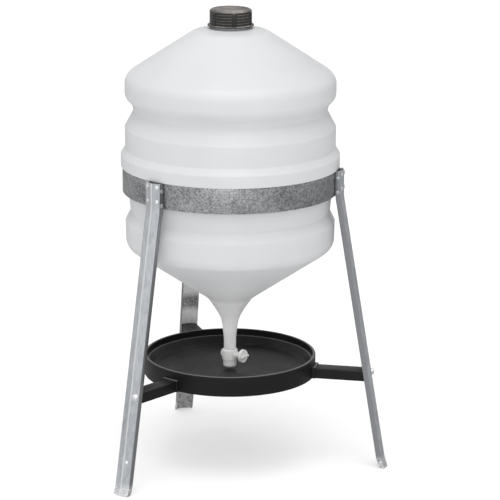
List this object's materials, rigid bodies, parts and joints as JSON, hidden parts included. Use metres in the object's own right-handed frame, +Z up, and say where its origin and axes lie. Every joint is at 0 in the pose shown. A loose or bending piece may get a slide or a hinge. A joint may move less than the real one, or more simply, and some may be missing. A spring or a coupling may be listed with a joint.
{
  "type": "poultry waterer fount",
  "caption": "Siphon drinking fount for poultry: screw-capped drop-in tank with a tapped spout, held by a hoop on splayed channel legs over a round drinking tray.",
  "frame": {"origin": "on the floor, under the middle of the bounding box; the tank's upright axis is 44.7 mm towards -Y from it", "axes": "+Z up the tank; +Y towards the leg that has no neighbour across from it, the other two legs stand at 210 and 330 degrees from +X about the tank's axis"},
  "size_m": [0.472, 0.4454, 0.7551],
  "materials": {
    "leg_steel": "hot-dip galvanised sheet steel, dull, fine spangle",
    "hoop_steel": "galvanised band steel with a visible spangle",
    "rivet_alloy": "mill-finish blind rivets",
    "zinc_plate": "bright zinc plate",
    "tray_plastic": "black polypropylene, satin",
    "tank_plastic": "natural polyethylene, blow moulded, translucent white",
    "cap_plastic": "black polypropylene, worn satin",
    "tap_plastic": "white polyethylene",
    "seal_rubber": "black nitrile rubber"
  },
  "bodies": {
    "stand": {"leg_1": "leg_steel", "leg_2": "leg_steel", "leg_3": "leg_steel", "hoop_arc_1": "hoop_steel", "hoop_arc_2": "hoop_steel", "hoop_arc_3": "hoop_steel", "leg_1_web_rivet_upper_left": "rivet_alloy", "leg_1_web_rivet_upper_right": "rivet_alloy", "leg_1_web_rivet_lower_left": "rivet_alloy", "leg_1_web_rivet_lower_right": "rivet_alloy", "leg_1_flange_rivet_upper_left": "rivet_alloy", "leg_1_flange_rivet_upper_right": "rivet_alloy", "leg_1_flange_rivet_lower_left": "rivet_alloy", "leg_1_flange_rivet_lower_right": "rivet_alloy", "leg_2_web_rivet_upper_left": "rivet_alloy", "leg_2_web_rivet_upper_right": "rivet_alloy", "leg_2_web_rivet_lower_left": "rivet_alloy", "leg_2_web_rivet_lower_right": "rivet_alloy", "leg_2_flange_rivet_upper_left": "rivet_alloy", "leg_2_flange_rivet_upper_right": "rivet_alloy", "leg_2_flange_rivet_lower_left": "rivet_alloy", "leg_2_flange_rivet_lower_right": "rivet_alloy", "leg_3_web_rivet_upper_left": "rivet_alloy", "leg_3_web_rivet_upper_right": "rivet_alloy", "leg_3_web_rivet_lower_left": "rivet_alloy", "leg_3_web_rivet_lower_right": "rivet_alloy", "leg_3_flange_rivet_upper_left": "rivet_alloy", "leg_3_flange_rivet_upper_right": "rivet_alloy", "leg_3_flange_rivet_lower_left": "rivet_alloy", "leg_3_flange_rivet_lower_right": "rivet_alloy", "arm_1_bolt": "zinc_plate", "arm_1_washer": "zinc_plate", "arm_1_nut": "zinc_plate", "arm_2_bolt": "zinc_plate", "arm_2_washer": "zinc_plate", "arm_2_nut": "zinc_plate", "arm_3_bolt": "zinc_plate", "arm_3_washer": "zinc_plate", "arm_3_nut": "zinc_plate", "tray": "tray_plastic"},
    "tank": {"tank": "tank_plastic", "tap_body": "tap_plastic"},
    "cap_seal": {"cap_seal": "seal_rubber"},
    "cap": {"cap": "cap_plastic"},
    "tap_key": {"tap_key": "tap_plastic", "tap_ring_outer": "seal_rubber", "tap_ring_inner": "seal_rubber"}
  },
  "joints": [
    {"name": "tank_lift", "type": "slide", "parent": "stand", "child": "tank", "axis": [0, 0, 1], "range_m": [0, 0.36]},
    {"name": "cap_lift", "type": "slide", "parent": "tank", "child": "cap_seal", "axis": [0, 0, 1], "range_m": [0, 0.0151]},
    {"name": "cap_turn", "type": "hinge", "parent": "cap_seal", "child": "cap", "pos_m": [0, -0.04466, 0.74], "axis": [0, 0, 1], "range_deg": [0, 900]},
    {"name": "tap_turn", "type": "hinge", "parent": "tank", "child": "tap_key", "pos_m": [0, -0.04466, 0.178], "axis": [0.5878, -0.809, 0], "range_deg": [0, 90]}
  ],
  "couplings": [
    {"joint": "cap_lift", "follows": "cap_turn", "m_per_rad": 0.00095493}
  ]
}
